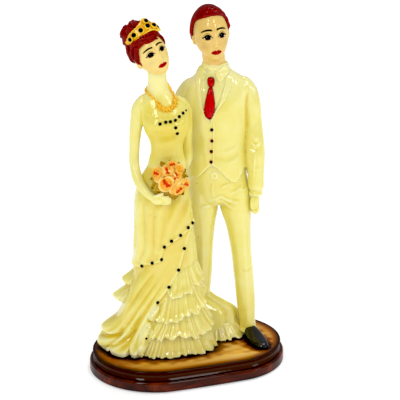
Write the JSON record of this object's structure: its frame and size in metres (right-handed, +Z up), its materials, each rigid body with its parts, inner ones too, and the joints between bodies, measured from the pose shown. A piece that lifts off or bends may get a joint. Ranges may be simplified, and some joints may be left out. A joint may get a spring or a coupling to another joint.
{
  "type": "wedding cake topper",
  "caption": "Cast resin bride and groom standing together on a two-tier oval base, the bride holding a rose bouquet; a decorative figure for the top of a cake.",
  "frame": {"origin": "middle of the base's underside", "axes": "+Z up, +X along the base's length towards the groom's side, -Y to the front of the base"},
  "size_m": [0.0998, 0.0678, 0.1792],
  "materials": {
    "ivory_resin": "cast polyresin, ivory, clear gloss lacquer",
    "skin_resin": "cast polyresin, warm skin tint, clear gloss lacquer",
    "hair_paint": "mahogany red gloss paint",
    "gold_paint": "gold paint",
    "rose_paint": "peach and coral hand paint",
    "leaf_paint": "olive gold hand paint",
    "tie_paint": "red gloss paint",
    "button_paint": "dark red gloss paint",
    "shoe_paint": "black gloss paint",
    "deck_resin": "honey brown stained resin, gloss",
    "tier_resin": "mahogany stained resin, gloss",
    "felt": "brown felt",
    "steel": "zinc plated screw"
  },
  "bodies": {
    "root": {"groom_hips": "ivory_resin", "groom_left_leg": "ivory_resin", "groom_right_leg": "ivory_resin", "waistband_button": "ivory_resin", "bride_skirt": "ivory_resin", "bride_overskirt": "ivory_resin", "bride_flounce_1": "ivory_resin", "bride_flounce_2": "ivory_resin", "bride_flounce_3": "ivory_resin", "bride_flounce_4": "ivory_resin", "bride_train": "ivory_resin", "bride_bodice": "ivory_resin", "bride_right_arm": "ivory_resin", "bride_left_arm": "ivory_resin", "bride_right_hand": "ivory_resin", "groom_jacket": "ivory_resin", "shirt_front": "ivory_resin", "lapel_left": "ivory_resin", "lapel_right": "ivory_resin", "groom_left_sleeve": "ivory_resin", "groom_right_sleeve": "ivory_resin", "groom_left_cuff": "ivory_resin", "shirt_collar": "ivory_resin", "bride_head": "skin_resin", "groom_head": "skin_resin", "groom_left_hand": "skin_resin", "groom_right_hand": "skin_resin", "bride_hair": "hair_paint", "bride_bun": "hair_paint", "groom_hair": "hair_paint", "tiara": "gold_paint", "necklace": "gold_paint", "bouquet_rose_1": "rose_paint", "bouquet_rose_2": "rose_paint", "bouquet_rose_3": "rose_paint", "bouquet_rose_4": "rose_paint", "bouquet_rose_5": "rose_paint", "bouquet_rose_6": "rose_paint", "bouquet_rose_7": "rose_paint", "bouquet_rose_8": "rose_paint", "bouquet_leaves": "leaf_paint", "tie_blade": "tie_paint", "tie_knot": "tie_paint", "jacket_button_1": "button_paint", "jacket_button_2": "button_paint", "jacket_button_3": "button_paint", "jacket_button_4": "button_paint", "groom_left_shoe": "shoe_paint", "base_upper_tier": "deck_resin", "base_lower_tier": "tier_resin", "felt_pad": "felt", "skirt_screw_left": "steel", "skirt_screw_right": "steel", "leg_screw": "steel"}
  },
  "joints": []
}
